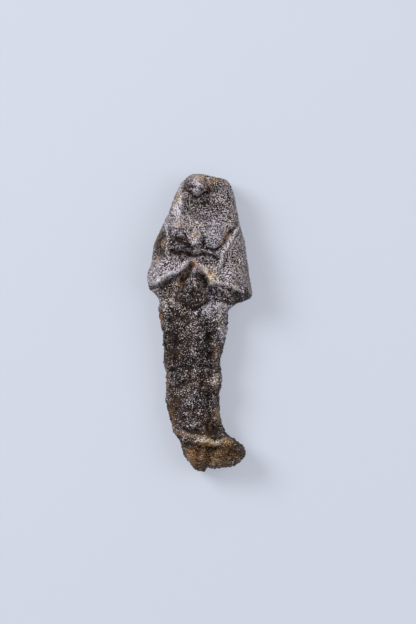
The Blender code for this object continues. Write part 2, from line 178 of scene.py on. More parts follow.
# Small knobs and pits in the same way: ((across, up), (half width, half height), rise, bloom). Their bloom is
# partly painted light: pits and hollows darker as painted shade, the lit face of the beak paler as a painted
# highlight, besides the pale scabs and specks of the wax itself.
FINE_SPOTS = {
    "bump left of the beak": ((-5.9, 95.8), (0.9, 1.3), 0.5, 0.20),
    "lit face of the beak": ((-0.3, 95.6), (1.0, 0.8), 0.1, 0.60),
    "dark heart of the beak": ((-2.2, 95.5), (0.9, 0.8), -0.1, -0.60),
    "dark crown of the beak": ((-3.9, 97.4), (1.2, 0.9), -0.2, -0.40),
    "hollow right of the beak": ((3.9, 94.4), (1.3, 1.6), -0.6, -0.30),
    "boss pit": ((-6.9, 77.2), (1.4, 1.3), -0.4, -1.20),
    "filled pit of the boss": ((-7.4, 78.6), (1.6, 1.0), 0.7, 0.10),
    "dark right of the boss": ((-4.6, 77.2), (0.7, 1.8), -0.3, -0.55),
    "chest speck": ((3.7, 66.4), (0.6, 0.7), -0.7, -0.95),
    "pale scab on the right arm": ((14.6, 70.8), (0.8, 1.1), 0.4, 0.45),
    "left outline nodule": ((-12.9, 51.9), (0.9, 1.1), 0.8, -0.30),
    "pit below the left elbow": ((-9.6, 54.6), (1.1, 1.1), -0.5, -0.30),
    "second pit below the elbow": ((-9.8, 50.4), (0.9, 1.4), -0.5, -0.30),
    "speck on the pale thigh": ((5.6, 53.0), (0.9, 0.6), -0.4, -0.35),
    "high left leg pit": ((-7.7, 45.2), (0.9, 2.2), -0.6, -0.30),
    "upper left leg pit": ((-4.7, 43.9), (1.9, 1.0), -0.7, -0.40),
    "upper right leg pit": ((3.4, 44.8), (0.8, 1.6), -1.0, -0.80),
    "left edge hollow": ((-10.8, 39.2), (1.2, 2.8), -0.5, -0.35),
    "lower left leg pit": ((-8.0, 37.2), (1.4, 1.9), -0.7, -0.40),
    "middle leg pit": ((-1.7, 37.2), (0.9, 1.4), -0.6, -0.30),
    "lower right leg pit": ((3.7, 39.5), (1.0, 1.4), -0.7, -0.50),
    "leg speck": ((0.5, 45.6), (0.6, 0.6), 0.5, 0.60),
    "leg lobe": ((3.0, 46.8), (0.9, 0.8), 0.4, 0.45),
    "knee knob": ((5.7, 30.9), (1.5, 2.4), 0.6, 0.50),
    "right shin pit": ((1.2, 29.8), (0.9, 1.0), -0.9, -0.50),
    "left shin pit": ((-5.7, 29.1), (1.4, 1.0), -0.6, -0.30),
    "shin ridge": ((-1.0, 27.6), (0.9, 2.3), 0.5, 0.25),
    "left calf pit": ((-7.4, 23.8), (0.9, 2.2), -0.7, -0.40),
    "calf lobe": ((-3.3, 23.2), (1.2, 1.5), 0.4, 0.20),
    "left ankle pit": ((-5.7, 18.8), (1.4, 1.3), -0.7, -0.40),
    "middle ankle pit": ((1.0, 18.8), (1.0, 1.3), -0.6, -0.30),
    "ankle lobe": ((-1.7, 16.4), (1.5, 1.3), 0.4, 0.30),
    "right ankle pit": ((4.7, 13.7), (1.1, 1.9), -0.9, -0.70),
    "pale scab on the instep": ((6.6, 10.7), (1.9, 0.8), 0.3, 0.50),
    "scab by the toes": ((9.7, 10.0), (1.4, 0.6), 0.2, 0.50),
    "foot pit": ((-1.0, 7.1), (1.5, 1.3), -0.9, -0.70),
    "heart of the left sole": ((-0.9, 5.8), (1.2, 1.2), -0.3, -0.40),
    "dot on the sole": ((2.7, 6.4), (0.5, 0.6), 0.3, 0.60),
    "toe pit": ((9.8, 6.8), (2.0, 1.7), -0.6, -0.70),
    "outer toe pit": ((12.4, 6.0), (1.0, 1.0), -0.5, -0.30),
    "pale scab in the notch": ((3.8, 2.0), (1.0, 0.8), 0.1, 0.85),
}

# The step between the soles that shows in the outline: its place across, half width, height and depth
SOLE_CLEFT = (2.9, 0.6, 2.6, 0.7)

# Where the pale bloom lies thicker, or thinner below 0, as a name: ((across, up), (half width, half height),
# strength)
# Some patches are painted light: 'under the lobes', 'under the left elbow' and 'right elbow' are painted
# shade under the wig's lobes and the arms, and 'rim at the left elbow', 'rim right of the lump's peak',
# 'instep' and 'right instep' are painted highlights.
BLOOM_PATCHES = {
    "left lappet": ((-7.6, 88.0), (1.9, 6.0), 0.30),
    "broad left lappet": ((-7.4, 87.0), (3.0, 4.6), 0.34),
    "band above the hem": ((0.5, 83.2), (13.0, 2.0), 0.10),
    "right lobe": ((5.0, 78.8), (4.4, 4.4), 0.14),
    "triangle right of the hem": ((8.8, 74.6), (2.0, 3.6), 0.12),
    "left forearm": ((-10.4, 68.4), (6.6, 3.0), 0.30),
    "right hand": ((4.8, 65.6), (4.4, 4.0), 0.24),
    "rim right of the lump's peak": ((0.8, 67.8), (2.8, 2.1), 1.60),
    "peak of the lump": ((-1.7, 70.0), (1.5, 2.0), 0.08),
    "rim at the left elbow": ((-12.2, 65.0), (4.4, 1.2), 0.70),
    "right of the beak": ((1.2, 94.8), (2.4, 3.0), -0.30),
    "right forearm": ((12.0, 66.4), (4.6, 3.6), 0.06),
    "right thigh": ((5.4, 53.8), (7.4, 4.6), 1.00),
    "thigh under the right elbow": ((9.6, 55.4), (3.6, 1.8), 0.40),
    "outer right thigh": ((7.6, 47.8), (2.8, 5.4), 1.10),
    "middle lobe": ((-1.2, 76.6), (2.4, 3.4), 0.50),
    "between the thighs": ((-1.6, 43.0), (3.6, 11.0), 0.14),
    "middle of the shins": ((-1.2, 22.6), (3.2, 8.0), 0.16),
    "above the instep": ((-1.4, 15.6), (3.0, 2.4), 0.20),
    "left thigh": ((-8.6, 44.0), (3.0, 8.0), -0.46),
    "left calf": ((-8.9, 21.8), (2.4, 8.0), -0.76),
    "left knee": ((-7.6, 35.6), (3.0, 7.0), -0.14),
    "left side of the lump": ((-5.6, 63.4), (2.2, 3.2), -0.16),
    "right knee": ((4.8, 31.2), (2.4, 3.4), 0.58),
    "instep": ((1.6, 11.2), (8.4, 1.5), 0.70),
    "notch left of the lump's peak": ((-4.0, 67.9), (2.2, 3.2), 1.30),
    "right instep": ((6.8, 10.4), (4.8, 1.4), 0.50),
    "right calf": ((5.6, 20.6), (1.8, 6.0), -0.22),
    "right edge above the knee": ((6.6, 41.0), (1.6, 5.0), 0.10),
    "face and throat": ((0.2, 88.2), (6.8, 5.0), -0.24),
    "right lappet": ((5.4, 88.6), (3.8, 4.8), -0.34),
    "foot of the throat": ((0.6, 84.8), (6.0, 1.8), -0.26),
    "left of the beak": ((-3.4, 95.8), (2.8, 3.2), -0.52),
    "right of the crown": ((5.6, 97.0), (4.4, 2.6), -0.50),
    "boss": ((-6.8, 77.4), (3.6, 4.0), -0.46),
    "under the lobes": ((-3.0, 75.2), (7.4, 1.7), -0.62),
    "right elbow": ((15.4, 59.4), (2.8, 3.6), -1.00),
    "above the lump's peak": ((-0.5, 70.6), (4.0, 1.2), 0.10),
    "left slope": ((-12.7, 76.6), (3.0, 8.0), -0.92),
    "left hand": ((-4.6, 70.8), (5.2, 1.8), -0.50),
    "right wrist": ((3.0, 70.6), (5.6, 2.6), -0.54),
    "left hip": ((-7.4, 52.6), (3.8, 5.4), -0.20),
    "top of the lump": ((-0.6, 65.4), (2.6, 3.2), -0.50),
    "foot of the lump": ((-2.6, 58.6), (5.6, 4.0), -0.36),
    "under the left elbow": ((-11.4, 60.8), (4.0, 3.0), -0.46),
}
# Where bare wax shows warm brown to amber, in the same form
AMBER_PATCHES = {
    "crown": ((0.6, 98.4), (3.0, 1.6), 1.2),
    "right of the crown": ((5.6, 97.4), (3.4, 1.3), 0.6),
    "beak flank": ((2.3, 96.2), (0.8, 3.0), 1.0),
    "right temple": ((9.2, 95.8), (1.8, 2.6), 0.7),
    "left temple": ((-7.9, 93.2), (1.0, 3.0), 0.7),
    "right edge of the wig": ((12.2, 86.6), (0.9, 3.6), 0.5),
    "top of the middle lobe": ((-1.3, 79.2), (2.0, 1.4), 1.1),
    "above the boss": ((-7.2, 82.4), (2.4, 1.1), 1.2),
    "diagonal crease": ((9.0, 79.2), (1.2, 2.4), 1.4),
    "foot of the diagonal crease": ((7.2, 76.4), (1.0, 1.8), 0.8),
    "left wig border": ((-11.7, 76.4), (0.8, 3.2), 1.1),
    "left slope": ((-14.4, 77.0), (1.0, 5.0), 0.5),
    "left upper arm": ((-13.8, 70.8), (1.2, 3.0), 0.4),
    "peak of the lump": ((-1.6, 69.6), (1.6, 2.2), 2.2),
    "rim right of the lump's peak": ((0.8, 67.8), (2.6, 1.3), 1.5),
    "chest speck": ((3.4, 66.4), (2.0, 1.6), 0.4),
    "notch left of the lump's peak": ((-4.4, 67.0), (1.8, 3.2), 1.2),
    "left edge of the lump": ((-6.6, 63.4), (1.2, 3.4), 0.9),
    "lower rim right of the lump": ((2.6, 66.6), (3.0, 1.2), 0.9),
    "left edge of the thigh": ((-12.7, 50.4), (1.0, 3.2), 0.7),
    "left edge of the shin": ((-10.8, 30.0), (1.3, 7.0), 0.5),
    "right edge above the knee": ((5.4, 40.0), (1.0, 6.0), 0.5),
    "right knee": ((5.4, 30.0), (2.2, 3.4), 0.6),
    "right calf": ((6.0, 18.6), (1.6, 3.6), 0.8),
    "right ankle": ((3.4, 15.6), (1.0, 2.4), 0.5),
    "left calf": ((-9.0, 18.6), (1.4, 6.0), 0.36),
    "left ankle": ((-8.4, 13.4), (1.8, 2.4), 0.50),
    "left instep": ((-4.6, 12.8), (4.6, 1.8), 0.7),
    "instep": ((2.4, 9.7), (3.8, 1.5), 1.7),
    "right instep": ((9.4, 10.2), (3.4, 1.8), 0.9),
    "left rim of the sole": ((-3.0, 4.8), (2.6, 5.0), 0.6),
    "toe": ((13.4, 4.6), (1.8, 1.8), 0.4),
    "streak on the right sole": ((5.6, 3.4), (3.0, 1.6), 0.6),
    "both feet": ((4.0, 6.0), (15.0, 9.0), 0.36),
}
# Cast of the bloom, in the same form: above 0 it yellows to cream, below 0 it turns violet
CAST_PATCHES = {
    "crown": ((4.0, 97.6), (8.0, 2.8), 0.30),
    "left temple": ((-8.2, 92.0), (1.6, 5.0), 0.40),
    "beak": ((-2.4, 95.4), (3.6, 3.4), -0.30),
    "left lappet": ((-5.6, 87.6), (4.0, 5.0), -0.26),
    "right slope": ((12.6, 72.0), (5.0, 13.0), 0.24),
    "triangle right of the hem": ((8.8, 74.6), (2.4, 3.8), 0.24),
    "left slope": ((-13.6, 76.0), (2.4, 8.0), 0.26),
    "right hand": ((5.4, 65.4), (5.0, 3.6), 0.30),
    "below the hem": ((-2.0, 71.4), (8.0, 2.4), -0.24),
    "right lobe": ((5.0, 78.6), (4.6, 4.6), -0.20),
    "under the left arm": ((-8.6, 62.4), (5.6, 2.4), 0.22),
    "left hip": ((-10.6, 56.0), (3.0, 4.0), 0.14),
    "left leg": ((-8.6, 42.0), (3.6, 16.0), 0.16),
    "right edge of the leg": ((6.0, 36.0), (2.2, 8.0), 0.30),
    "middle of the thighs": ((-0.6, 40.0), (4.4, 14.0), -0.14),
    "middle of the shins": ((-1.0, 24.0), (4.0, 6.0), -0.14),
    "left calf": ((-9.0, 20.0), (2.4, 8.0), 0.30),
    "right calf": ((6.0, 19.0), (2.4, 7.0), 0.34),
    "both feet": ((3.6, 6.0), (18.0, 11.6), 0.95),
}

# A patch has its full strength inside this share of its half size
PATCH_HEART = 0.2

# Shake of the hand, finer than its wander: how far it goes in squares and its wave length in metres. The
# shift takes it to another part of the noise.
SHAKE = 0.55
SHAKE_WAVE_LENGTH = 0.0042
SHAKE_SHIFT = (0.1, 0.0, 0.0)

# Pairs named for where something lies say where it begins and where it is full. FACING is how far the skin
# looks up, from -1 on the back to 1 on the front.

# Narrow carving: creases as a half width and a depth in squares, and the width of the arms' underside where
# the crease at their foot begins and is full
ARM_FOOT_CREASE = (0.6, 0.5)
LUMP_CREASE = (0.5, 0.3)
CREASED_UNDERSIDE = (0.9, 2.1)
CARVED_WHERE_FACING = (-0.1, 0.5)
# Slow lumps in metres, then the share of the full crust on wig and arms, and the heights over which it grows
LUMP_RISE = 0.00016
RUBBED_ROUGHNESS = 0.42
ROUGH_BELOW = (61, 51)
# Fine crust and pits, as shares of the crust's own size and rise. A pit's radius is in cells of its noise.
FINE_CRUST_SIZE = 0.5
FINE_CRUST_SHARE = 0.4
PIT_SIZE = 0.8
PIT_RADIUS = 0.42
PIT_DEPTH = 1.6
PITTED_ROUGHNESS = (0.5, 1.0)
# Share of the figure's depth over which the relief fades towards the resting face
RESTING_RIM = 0.06
# Points of the solid nearer than this, in metres, are one
WELD_REACH = 0.000001

# Thickness of bloom on the feet, what the legs and the upper body add to it, and the heights between them
FEET_BLOOM = -0.64
LEG_BLOOM = 0.24
ANKLES = (10.5, 14.5)
UPPER_BLOOM = 0.72
WAIST = (50, 62)
# The rim of the arms gets a painted highlight and the wax under them painted shade. Their places are shares
# of the underside's width above the foot of the arms, and the painted shade begins further up and is weaker
# on the right side.
RIGHT_SIDE = (3, 6)
RIM_AT = 1.10
RIM_PAINTED_HIGHLIGHT = 0.20
UNDERSIDE_TOP = 0.80
UNDERSIDE_TOP_RIGHT = 0.20
UNDERSIDE_SOFTNESS = 0.30
UNDERSIDE_PAINTED_SHADE = 0.54
UNDERSIDE_PAINTED_SHADE_RIGHT = 0.10
SHADED_UNDERSIDE_WIDTH = (0.9, 1.7)
# The lump is darker, and the sides and the hollows get painted shade. Hollows are how far a point is sunk, in
# squares.
LUMP_DARK = 0.52
LUMP_SOFTNESS = 0.5
MARKED_WHERE_FACING = (-0.15, 0.35)
SIDE_PAINTED_SHADE = 0.26
SIDE_FACING = 0.5
HOLLOW_PAINTED_SHADE = 1.1
SUNK_PASSES = 12
SUNK_SEEN = (-0.12, 0.4)
BLOOM_RANGE = (-1.2, 1.3)
# Uneven bloom as wave lengths in metres and strengths. Blotches grow with the crust from a low share of it.
PATCH_WANDER_SIZE = 0.006
BLOOM_WANDER = 0.12
BLOTCH_SIZE = 0.0024
BLOTCH_BLOOM = 0.6
BLOTCH_FREE_ROUGHNESS = 0.25
# Bare amber wax, even and uneven, and the same for the cast of the bloom, whose noise is read elsewhere
EVEN_AMBER = 0.04
AMBER_ON_SIDES = 0.25
AMBER_WANDER = 0.20
MOST_AMBER = 1.5
EVEN_CAST = 0.18
CAST_WITH_AMBER = 0.25
CAST_WANDER = 0.55
CAST_WANDER_SIZE = 0.0045
CAST_SHIFT = (0.2, 0.0, 0.0)

# Patterns in the wax, with scales as multiples of the grain's own. The grains are drawn coarser than real
# bloom, and as fine as the photograph shows them. FROM_TO is where a colour begins and where it is full.
MOTTLE_SCALE = 0.26
AMBER_STREAK_SCALE = 0.60
AMBER_PATCH_SCALE = 1.2
AMBER_SHIFT = (0.3, 0.1, 0.2)
AMBER_REACH = 0.05
BROWN_FROM_TO = (0.42, 0.66)
BARE_FROM_TO = (1.03, 1.12)
NOISE_MIDDLE = (0.30, 0.70)
PATCHY_BLOOM = 0.26
GRAINY_BLOOM = 1.65
VEIL_FROM_TO = (0.18, 0.46)
PALE_FROM_TO = (0.56, 1.00)
# How sunk a point is where the painted shade of the hollows begins and is full, and its strongest share of
# resin colour
SHADED_FROM_TO = (0.02, 0.34)
MOST_SHADE = 0.6
# Surface of the wax: from bare to bloomed roughness, then bumps as a strength and a height in metres
ROUGHNESS_FROM_TO = (0.55, 0.90)
BEESWAX_IOR = 1.44
WAX_GLOSS = 0.22
GRIT_BUMP = (0.7, 0.00025)
GRAIN_BUMP = (0.5, 0.00012)
# Sockets of a colour mix: its two colours and its result
MIX_FIRST = 6
MIX_SECOND = 7
MIX_RESULT = 2

# The table, its side in lengths of the figure, and the light over it with sizes and places in metres
TABLE_LENGTHS = 40
TABLE_ROUGHNESS = 0.9
TABLE_GLOSS = 0.1
KEY_SIZE = 0.50
KEY_PLACE = (-0.71, 0.48, 0.76)
FILL_SIZE = 0.80
FILL_PLACE = (0.74, 0.12, 0.94)
ROOM_COLOUR = "E6EAF2"
SENSOR_HEIGHT = 36.0


def linear(channel):
    return channel / 12.92 if channel <= 0.04045 else ((channel + 0.055) / 1.055) ** 2.4


def colour(hex_code):
    """Linear RGBA of an sRGB hex code."""
    return tuple(linear(int(hex_code[i:i + 2], 16) / 255) for i in (0, 2, 4)) + (1.0,)


def length_setting(name, description, default, **limits):
    return FloatProperty(
        name=name, description=description, default=default, unit="LENGTH", precision=5, **limits,
    )


def colour_setting(name, description, hex_code):
    return FloatVectorProperty(
        name=name, description=description, subtype="COLOR", size=4, min=0.0, max=1.0,
        default=colour(hex_code),
    )


class WaxFigureSettings(bpy.types.PropertyGroup):
    """Sizes and colours of the figure's surface."""

    skin_step: length_setting("Skin step", "Side of a facet of the fine skin", 0.00028, min=0.0002)
    smoothing: IntProperty(
        name="Smoothing", description="Passes that take the facets out of the solid's skin", default=5, min=0,
    )
    carving_depth: FloatProperty(
        name="Carving depth", description="Depth of the narrow carving, as a share of its drawn depth",
        default=0.75, min=0.0, max=2.0, subtype="FACTOR",
    )
    lump_size: length_setting("Lump size", "Wave length of the pressed surface's slow lumps", 0.0052)
    crust_size: length_setting("Crust size", "Wave length of the resin crust's scabs and pits", 0.0017)
    crust_rise: length_setting("Crust rise", "How far the scabs of the crust stand out on the legs", 0.00042)
    grain_size: length_setting("Grain size", "Size of a grain of bloom", 0.00031)
    resin: colour_setting("Resin", "Resin-soaked wax, nearly black", "110907")
    wax: colour_setting("Brown wax", "Wax with less resin in it", "36231A")
    amber: colour_setting("Amber wax", "Thin or rubbed wax that shows its own colour", "CC955C")
    violet_bloom: colour_setting("Violet bloom", "Pale bloom over clean wax", "EDE4EC")
    cream_bloom: colour_setting("Cream bloom", "Pale bloom yellowed by resin and dirt", "EAD9C0")
    thin_violet_bloom: colour_setting("Thin violet bloom", "Violet bloom with wax showing through", "6C6168")
    thin_cream_bloom: colour_setting("Thin cream bloom", "Cream bloom with wax showing through", "70614E")


class StudioSettings(bpy.types.PropertyGroup):
    """The table, the lights and the camera."""

    table: colour_setting("Table", "Colour of the pale table", "AAAEB8")
    table_glow: FloatProperty(
        name="Table glow", description="Strength of the light that comes up through the opal table",
        default=0.70, min=0.0,
    )
    key_power: FloatProperty(
        name="Key light", description="Power of the large soft light", default=8.4, unit="POWER",
    )
    fill_power: FloatProperty(
        name="Fill light", description="Power of the weaker light", default=3.8, unit="POWER",
    )
    sky: FloatProperty(
        name="Room light", description="Strength of the light from all round", default=0.42, min=0.0,
    )
    lens: FloatProperty(
        name="Lens", description="Focal length of the camera straight above", default=150.0, unit="CAMERA",
    )


def strayed(across, up):
    """The drawn place of the feature that the hand has moved to (across, up)."""
    turns = 2 * math.pi / WANDER_WAVE_LENGTH
    slant_across, slant_up = WANDER_SLANT
    return (
        across + WANDER * np.sin(turns * up + slant_across * across),
        up + WANDER * np.sin(turns * across + slant_up * up),
    )


def canon(points):
    """(across, up) in squares of points in metres."""
    across = (points[:, 0] - (BOX_LOW.x + BOX_HIGH.x) / 2) / SQUARE + BOX_MIDDLE_ACROSS
    up = (points[:, 1] - BOX_LOW.y) / SQUARE
    return across, up


def rising(values, start, full):
    """From 0 at start to 1 at full, with soft ends. Full may lie below start."""
    share = np.clip((values - start) / (full - start), 0.0, 1.0)
    return share * share * (3 - 2 * share)


def bell(distance, half_width=1.0):
    return np.exp(-((distance / half_width) ** 2))


def distance_to_line(across, up, points):
    nearest = np.full_like(across, np.inf)
    for (ax, ay), (bx, by) in zip(points, points[1:]):
        dx, dy = bx - ax, by - ay
        share = np.clip(((across - ax) * dx + (up - ay) * dy) / (dx * dx + dy * dy), 0.0, 1.0)
        nearest = np.minimum(nearest, np.hypot(across - ax - share * dx, up - ay - share * dy))
    return nearest


def oval_reach(across, up, centre, half_size):
    """Distance from the centre of an oval, 1 at its edge."""
    return np.hypot((across - centre[0]) / half_size[0], (up - centre[1]) / half_size[1])


def patches(across, up, places):
    """Sum of soft oval patches, each given as its centre, half size and strength."""
    total = np.zeros_like(across)
    for centre, half_size, strength in places.values():
        total += strength * rising(oval_reach(across, up, centre, half_size), 1.0, PATCH_HEART)
    return total


def coordinates(mesh):
    points = np.empty(len(mesh.vertices) * 3, np.float32)
    mesh.vertices.foreach_get("co", points)
    return points.reshape(-1, 3).astype(float)


def set_coordinates(mesh, points):
    mesh.vertices.foreach_set("co", points.astype(np.float32).ravel())
    mesh.update()


def vertex_normals(mesh):
    normals = np.empty(len(mesh.vertices) * 3, np.float32)
    mesh.vertex_normals.foreach_get("vector", normals)
    return normals.reshape(-1, 3).astype(float)


def neighbour_mean(mesh):
    """A function that gives each vertex the mean of its neighbours' values."""
    edges = np.empty(len(mesh.edges) * 2, np.int32)
    mesh.edges.foreach_get("vertices", edges)
    a, b = edges.reshape(-1, 2).T
    count = np.bincount(a, minlength=len(mesh.vertices)) + np.bincount(b, minlength=len(mesh.vertices))

    def mean(values):
        columns = values.reshape(len(values), -1)
        total = [
            np.bincount(a, weights=column[b], minlength=len(values))
            + np.bincount(b, weights=column[a], minlength=len(values))
            for column in columns.T
        ]
        return (np.array(total) / count).T.reshape(values.shape)

    return mean


def smoothed(values, mean, passes):
    for _ in range(passes):
        values = 0.5 * values + 0.5 * mean(values)
    return values


def field(points, wave, rule):
    """A noise rule read at every point, with its wave length in metres."""
    return np.array([rule(Vector(point)) for point in points / wave])


def slow_lumps(place):
    """Two octaves of soft noise, from about -1 to 1."""
    return noise.fractal(place, 1.0, 2.0, 2)


def scabs(place):
    """Rounded scabs of crust with sharp creases between them."""
    return noise.turbulence(place, 3, False)


def pits(place):
    """Round pits of uneven depth, one to a cell."""
    return max(0.0, PIT_RADIUS - noise.voronoi(place)[0][0])


def fine_skin(settings):
    """The solid's own form as a fine even mesh, with its facets smoothed away."""
    carrier = bpy.data.objects.new("carrier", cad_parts[NODE].data.copy())
    bpy.context.scene.collection.objects.link(carrier)
    weld = carrier.modifiers.new("Weld", "WELD")
    weld.merge_threshold = WELD_REACH
    remesh = carrier.modifiers.new("Remesh", "REMESH")
    remesh.mode = "VOXEL"
    remesh.voxel_size = settings.skin_step
    bpy.context.view_layer.update()
    mesh = bpy.data.meshes.new_from_object(carrier.evaluated_get(bpy.context.evaluated_depsgraph_get()))
    bpy.data.objects.remove(carrier, do_unlink=True)
    set_coordinates(mesh, smoothed(coordinates(mesh), neighbour_mean(mesh), settings.smoothing))
    return mesh


def roughness_at(up):
    """Share of the full crust: the legs and feet are rough, and the wig and arms are rubbed smoother."""
    return RUBBED_ROUGHNESS + (1 - RUBBED_ROUGHNESS) * rising(up, *ROUGH_BELOW)


def hand_drawn(points):
    """Canon places with the solid's own wander and a finer shake of the hand, so that no line looks ruled."""
    across, up = strayed(*canon(points))
    across = across + SHAKE * field(points + SHAKE_SHIFT, SHAKE_WAVE_LENGTH, slow_lumps)
    return across, up + SHAKE * field(points - SHAKE_SHIFT, SHAKE_WAVE_LENGTH, slow_lumps)


def narrow_carving(across, up):
    """Height in squares, and bloom, of the lines and spots that are too narrow for the solid; the bloom holds
    painted highlights and painted shade.
    """
    height, bloom = np.zeros_like(across), np.zeros_like(across)
    for line, half_width, rise, bloom_and_painted_light in FINE_LINES.values():
        share = bell(distance_to_line(across, up, line), half_width)
        height += rise * share
        bloom += bloom_and_painted_light * share
    for centre, half_size, rise, bloom_and_painted_light in FINE_SPOTS.values():
        share = bell(oval_reach(across, up, centre, half_size))
        height += rise * share
        bloom += bloom_and_painted_light * share
    return height, bloom


def over_arm_foot(across, up):
    """Squares from the foot line of the arms, above 0 on the arms and below 0 on the body under them."""
    side = np.where(up > np.interp(across, *np.array(ARM_FOOT).T), 1.0, -1.0)
    return side * distance_to_line(across, up, ARM_FOOT)


def underside_width(across):
    return np.interp(across, *np.array(ARM_UNDERSIDE).T)


def inside_lump(across, up):
    """Squares inward from the nearer edge of the lump, below 0 outside it."""
    left = np.interp(up, *np.array(LUMP_LEFT_EDGE).T)
    right = np.interp(up, *np.array(LUMP_RIGHT_EDGE).T)
    level = (up > LUMP_LEFT_EDGE[0][0]) & (up < LUMP_LEFT_EDGE[-1][0])
    return np.where(level, np.minimum(across - left, right - across), -1.0)


def carve(mesh, settings):
    """Pushes the skin along its normals by the narrow carving, the slow lumps, the crust and its pits."""
    points, normals = coordinates(mesh), vertex_normals(mesh)
    across, up = canon(points)
    rough = roughness_at(up)

    drawn_at = hand_drawn(points)
    carved, _ = narrow_carving(*drawn_at)
    half_width, depth = ARM_FOOT_CREASE
    wide = rising(underside_width(drawn_at[0]), *CREASED_UNDERSIDE)
    carved -= depth * wide * bell(over_arm_foot(*drawn_at), half_width)
    half_width, depth = LUMP_CREASE
    carved -= depth * bell(inside_lump(*drawn_at), half_width)
    rise = settings.carving_depth * SQUARE * rising(normals[:, 2], *CARVED_WHERE_FACING) * carved
    rise += LUMP_RISE * field(points, settings.lump_size, slow_lumps)

    crust = field(points, settings.crust_size, scabs)
    fine_crust = field(points, FINE_CRUST_SIZE * settings.crust_size, scabs)
    pitted = field(points, PIT_SIZE * settings.crust_size, pits)
    relief = crust - crust.mean() + FINE_CRUST_SHARE * (fine_crust - fine_crust.mean())
    rise += settings.crust_rise * rough * relief
    rise -= PIT_DEPTH * settings.crust_rise * rising(rough, *PITTED_ROUGHNESS) * pitted

    cleft_across, half_width, cleft_top, depth = SOLE_CLEFT
    rise -= depth * SQUARE * bell(across - cleft_across, half_width) * rising(up, cleft_top, 0)
    resting = rising(points[:, 2], 0, RESTING_RIM * FIGURE_DEPTH)
    points += normals * (rise * resting)[:, None]
    points[:, 2] = np.maximum(points[:, 2], BOX_LOW.z)
    set_coordinates(mesh, points)


def store(mesh, name, values):
    attribute = mesh.attributes.new(name, "FLOAT", "POINT")
    attribute.data.foreach_set("value", values.astype(np.float32))


def arm_painted_light(across, up):
    """Painted highlight on the rim of the arms and painted shade under them, as bloom gained and lost."""
    width = underside_width(across)
    share_up = over_arm_foot(across, up) / width
    on_right = rising(across, *RIGHT_SIDE)
    top = UNDERSIDE_TOP + UNDERSIDE_TOP_RIGHT * on_right
    below_rim = rising(share_up, top, top - UNDERSIDE_SOFTNESS)
    above_foot = rising(share_up, -UNDERSIDE_SOFTNESS, 0)
    painted_shade = (UNDERSIDE_PAINTED_SHADE - UNDERSIDE_PAINTED_SHADE_RIGHT * on_right) * rising(width, *SHADED_UNDERSIDE_WIDTH)
    return RIM_PAINTED_HIGHLIGHT * bell(share_up - RIM_AT, UNDERSIDE_SOFTNESS) - painted_shade * below_rim * above_foot


def mark_surface(mesh):
    """Stores where bloom lies, with its painted highlights and painted shade, and its cast, where bare wax
    shows and how deep each point is sunk.
    """
    points, normals = coordinates(mesh), vertex_normals(mesh)
    across, up = hand_drawn(points)
    in_front = rising(normals[:, 2], *MARKED_WHERE_FACING)
    around = smoothed(points, neighbour_mean(mesh), SUNK_PASSES)
    sunk = ((around - points) * normals).sum(axis=1) / SQUARE
    wander = field(points, PATCH_WANDER_SIZE, slow_lumps)
    blotches = field(points, BLOTCH_SIZE, slow_lumps)

    # Painted highlights and painted shade of the arms, ridges, creases and pits join the bloom's own marks
    # here
    bloom_marks_and_painted_light = patches(across, up, BLOOM_PATCHES) + narrow_carving(across, up)[1] + arm_painted_light(across, up)
    bloom_marks_and_painted_light -= LUMP_DARK * rising(inside_lump(across, up), 0, LUMP_SOFTNESS)
    bloom = FEET_BLOOM + LEG_BLOOM * rising(up, *ANKLES) + UPPER_BLOOM * rising(up, *WAIST)
    bloom += in_front * bloom_marks_and_painted_light + BLOOM_WANDER * wander
    # Painted shade: skin that turns sideways is darker
    bloom -= SIDE_PAINTED_SHADE * (1 - rising(normals[:, 2], 0, SIDE_FACING))
    bloom += BLOTCH_BLOOM * (roughness_at(up) - BLOTCH_FREE_ROUGHNESS) * blotches
    # Painted shade in the hollows
    bloom -= HOLLOW_PAINTED_SHADE * np.clip(sunk, *SUNK_SEEN)

    shown = AMBER_ON_SIDES + (1 - AMBER_ON_SIDES) * in_front
    amber = EVEN_AMBER + shown * patches(across, up, AMBER_PATCHES) + AMBER_WANDER * wander
    amber = np.clip(amber, 0.0, MOST_AMBER)
    cast = EVEN_CAST + patches(across, up, CAST_PATCHES) + CAST_WITH_AMBER * amber
    cast += CAST_WANDER * field(points + CAST_SHIFT, CAST_WANDER_SIZE, slow_lumps)
    store(mesh, "bloom", np.clip(bloom, *BLOOM_RANGE))
    store(mesh, "amber", amber)
    store(mesh, "cast", np.clip(cast, 0.0, 1.0))
    store(mesh, "sunk", np.clip(sunk, -1.0, 1.0))


def add_node(tree, kind, links=(), **settings):
    """Adds a node, sets its properties and input values, and links other nodes' outputs into it."""
    node = tree.nodes.new(kind)
    for name, value in settings.items():
        if name.startswith("in_"):
            key = name[3:]
            node.inputs[int(key) if key.isdigit() else key.replace("_", " ")].default_value = value
        else:
            setattr(node, name, value)
    for target, source in dict(links).items():
        tree.links.new(source, node.inputs[target])
    return node


def fill(tree, socket, value):
    if isinstance(value, bpy.types.NodeSocket):
        tree.links.new(value, socket)
    else:
        socket.default_value = value


def stored(tree, name):
    return add_node(tree, "ShaderNodeAttribute", attribute_name=name).outputs["Fac"]


def noise_texture(tree, place, scale, detail, roughness=0.5, distortion=0.0):
    return add_node(
        tree, "ShaderNodeTexNoise", {"Vector": place}, in_Scale=scale, in_Detail=detail,
        in_Roughness=roughness, in_Distortion=distortion,
    ).outputs["Fac"]


def spread(tree, value, low, high, to_low=0.0, to_high=1.0, clamp=True):
    """A value's place between low and high, spread from to_low to to_high."""
    return add_node(
        tree, "ShaderNodeMapRange", {"Value": value}, in_From_Min=low, in_From_Max=high, in_To_Min=to_low,
        in_To_Max=to_high, clamp=clamp,
    ).outputs["Result"]


